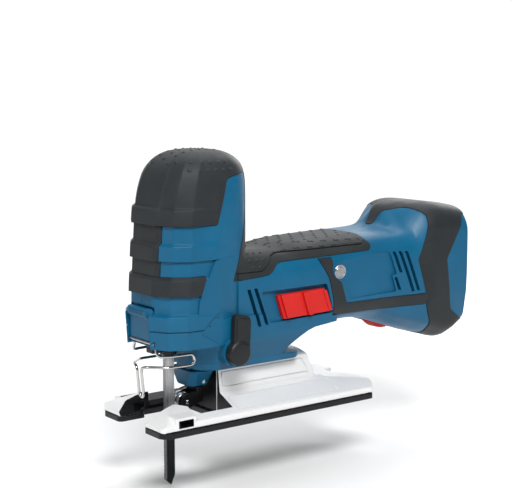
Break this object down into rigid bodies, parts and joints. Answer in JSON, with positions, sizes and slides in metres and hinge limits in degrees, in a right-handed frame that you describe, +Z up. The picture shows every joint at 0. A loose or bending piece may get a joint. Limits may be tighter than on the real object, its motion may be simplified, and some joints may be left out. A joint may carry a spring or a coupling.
{
  "type": "jigsaw power tool",
  "caption": "Cordless barrel-grip jigsaw with a faceted head, rubber grips, wire guard, roller-guided blade and a bevelling base plate.",
  "frame": {"origin": "centre of the flat sole face under the glide shoe, where the tool rests on the work, which is also on the bevel axis of the base", "axes": "+X is the cutting direction, +Y the tool's left side, +Z up, away from the work"},
  "size_m": [0.2655, 0.0772, 0.22],
  "materials": {
    "housing_blue": "fine moulded texture, satin",
    "rubber_black": "soft matte overmould",
    "alloy": "bead-blasted die casting",
    "shoe_black": "smooth low-friction plastic",
    "black_plastic": "fine moulded texture",
    "red_plastic": "satin moulded",
    "steel": "ground steel",
    "dark_steel": "black oxide",
    "blade_steel": "dark tool steel, bare teeth",
    "wire_chrome": "bright wire",
    "copper": "copper windings on steel laminations",
    "brass": "machined",
    "board": "circuit board"
  },
  "bodies": {
    "housing": {"housing_left": "housing_blue", "housing_right": "housing_blue", "head_cap_rubber": "rubber_black", "front_strip_rubber": "rubber_black", "lower_band_rubber": "rubber_black", "grip_top_pad": "rubber_black", "side_rubber_left": "rubber_black", "side_rubber_right": "rubber_black", "rear_bumper": "rubber_black", "gear_housing": "alloy", "guide_nose": "housing_blue", "gear_axle": "steel", "gear_axle_bearing": "steel", "plunger_bush_lower": "brass", "plunger_bush_upper": "brass", "motor_can": "dark_steel", "magnet_upper": "dark_steel", "magnet_lower": "dark_steel", "brush_plate": "black_plastic", "motor_bearing_front": "steel", "motor_bearing_rear": "steel", "switch_module": "black_plastic", "control_board": "board", "battery_terminal_block": "black_plastic", "contact_blade_1": "brass", "contact_blade_2": "brass", "battery_rail_left": "dark_steel", "battery_rail_right": "dark_steel", "housing_screw_1": "dark_steel", "housing_screw_2": "dark_steel", "housing_screw_3": "dark_steel", "housing_screw_4": "dark_steel", "housing_screw_5": "dark_steel", "wire_guard": "wire_chrome", "fork_pivot_pin": "steel", "release_lever_pin": "steel", "dial_axle": "steel"},
    "base": {"base_plate": "alloy", "glide_shoe": "shoe_black", "base_clamp_screw": "steel"},
    "blade_carrier": {"plunger": "steel", "blade_holder": "dark_steel", "saw_blade": "blade_steel"},
    "gear": {"drive_gear": "steel", "eccentric_pin": "steel"},
    "armature": {"motor_shaft": "steel", "pinion": "steel", "armature_core": "copper", "commutator": "copper", "cooling_fan": "black_plastic"},
    "roller_arm": {"roller_fork": "dark_steel", "roller_axle": "steel"},
    "roller": {"guide_roller": "steel"},
    "power_switch": {"switch_slider_left": "red_plastic", "switch_slider_right": "red_plastic", "switch_link": "black_plastic"},
    "orbital_selector": {"orbital_lever": "black_plastic"},
    "blade_release": {"blade_release_lever": "housing_blue"},
    "speed_wheel": {"speed_dial": "red_plastic"}
  },
  "joints": [
    {"name": "base_tilt", "type": "hinge", "parent": "housing", "child": "base", "pos_m": [0, 0, 0], "axis": [1, 0, 0], "range_deg": [-45, 45]},
    {"name": "blade_stroke", "type": "slide", "parent": "housing", "child": "blade_carrier", "axis": [0, 0, 1], "range_m": [-0.018, 0.005]},
    {"name": "gear_spin", "type": "hinge", "parent": "housing", "child": "gear", "pos_m": [0.04, 0, 0.11], "axis": [1, 0, 0], "continuous": true},
    {"name": "armature_spin", "type": "hinge", "parent": "housing", "child": "armature", "pos_m": [0, 0, 0.083], "axis": [1, 0, 0], "continuous": true},
    {"name": "fork_swing", "type": "hinge", "parent": "housing", "child": "roller_arm", "pos_m": [0.036, 0, 0.0246], "axis": [0, 1, 0], "range_deg": [0, 5]},
    {"name": "roller_spin", "type": "hinge", "parent": "roller_arm", "child": "roller", "pos_m": [0.0469, 0, 0.012], "axis": [0, 1, 0], "continuous": true},
    {"name": "switch_slide", "type": "slide", "parent": "housing", "child": "power_switch", "axis": [1, 0, 0], "range_m": [0, 0.007]},
    {"name": "orbital_select", "type": "hinge", "parent": "housing", "child": "orbital_selector", "pos_m": [0.026, 0.032, 0.0465], "axis": [0, 1, 0], "range_deg": [0, 50]},
    {"name": "release_flip", "type": "hinge", "parent": "housing", "child": "blade_release", "pos_m": [0.0772, 0, 0.0555], "axis": [0, 1, 0], "range_deg": [0, 45], "stiffness_Nm_per_rad": 0.06, "springref_deg": -5.73},
    {"name": "speed_turn", "type": "hinge", "parent": "housing", "child": "speed_wheel", "pos_m": [-0.1275, 0, 0.057], "axis": [0, 1, 0], "range_deg": [-135, 135]}
  ],
  "couplings": [
    {"joint": "armature_spin", "follows": "gear_spin", "ratio": -5}
  ]
}
